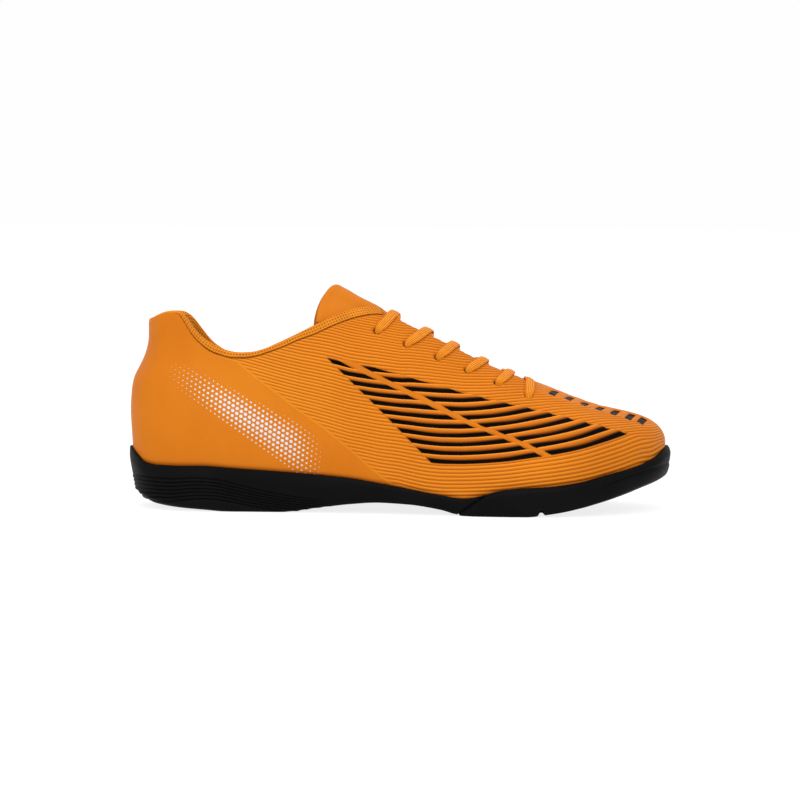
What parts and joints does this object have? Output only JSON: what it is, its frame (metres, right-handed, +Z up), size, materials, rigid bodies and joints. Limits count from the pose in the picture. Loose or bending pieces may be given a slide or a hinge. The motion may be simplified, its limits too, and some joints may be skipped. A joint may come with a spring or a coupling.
{
  "type": "indoor soccer shoe",
  "caption": "Low-cut indoor soccer shoe for the right foot: orange ribbed upper with a slotted lateral side, flat laces and a thin black rubber cupsole",
  "frame": {"origin": "centre of the bounding box in plan, at the floor", "axes": "+X to the toe, +Y to the inner side of the foot, +Z up"},
  "size_m": [0.2845, 0.1018, 0.1174],
  "materials": {
    "orange_synthetic": "satin",
    "orange_lining": "satin",
    "orange_lace": "matte",
    "black_rubber": "matte",
    "footbed": "matte"
  },
  "bodies": {
    "root": {"upper": "orange_synthetic", "outsole": "black_rubber", "insole": "footbed", "tongue": "orange_lining", "lace_bar": "orange_lace", "lace_cross_1": "orange_lace", "lace_cross_2": "orange_lace", "lace_cross_3": "orange_lace", "lace_cross_4": "orange_lace", "lace_cross_5": "orange_lace"}
  },
  "joints": []
}
